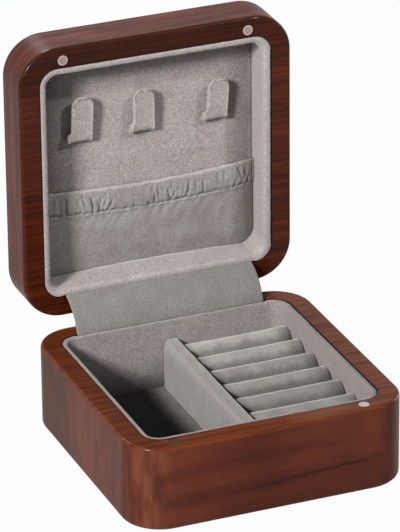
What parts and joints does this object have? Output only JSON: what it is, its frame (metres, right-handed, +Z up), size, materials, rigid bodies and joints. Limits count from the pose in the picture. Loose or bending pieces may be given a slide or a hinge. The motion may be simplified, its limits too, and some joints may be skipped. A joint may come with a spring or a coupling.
{
  "type": "jewelry box",
  "caption": "Square walnut jewelry box with round corners, a hinged lid, velvet lining, ring rolls, a divider, necklace tabs and a gathered lid pocket.",
  "frame": {"origin": "centre of the base's underside", "axes": "+Z up out of the base, +X to the right seen from the front, +Y to the hinges at the back"},
  "size_m": [0.1, 0.1203, 0.1333],
  "materials": {
    "walnut": "satin lacquer",
    "velvet": "warm grey short-pile velvet",
    "magnet": "plated disc",
    "hinge_brass": "satin brass",
    "elastic": "woven elastic"
  },
  "bodies": {
    "base": {"base_shell": "walnut", "base_liner": "velvet", "base_floor_pad": "velvet", "divider": "velvet", "hinge_flap": "velvet", "ring_roll_1": "velvet", "ring_roll_2": "velvet", "ring_roll_3": "velvet", "ring_roll_4": "velvet", "ring_roll_5": "velvet", "ring_roll_6": "velvet", "ring_roll_7": "velvet", "base_magnet_left": "magnet", "base_magnet_right": "magnet", "hinge_base_leaf_left": "hinge_brass", "hinge_base_leaf_right": "hinge_brass", "hinge_pin_left": "hinge_brass", "hinge_pin_right": "hinge_brass", "hinge_base_screws": "hinge_brass"},
    "lid": {"lid_shell": "walnut", "lid_liner": "velvet", "lid_panel": "velvet", "hook_left": "velvet", "hook_middle": "velvet", "hook_right": "velvet", "pocket_cloth": "velvet", "pocket_casing": "velvet", "lid_magnet_left": "magnet", "lid_magnet_right": "magnet", "hinge_lid_leaf_left": "hinge_brass", "hinge_lid_leaf_right": "hinge_brass", "hinge_lid_screws": "hinge_brass", "pocket_elastic": "elastic"}
  },
  "joints": [
    {"name": "lid_hinge", "type": "hinge", "parent": "base", "child": "lid", "pos_m": [0, 0.0527, 0.03065], "axis": [1, 0, 0], "range_deg": [0, 90], "deforming": ["hinge_flap"]}
  ]
}
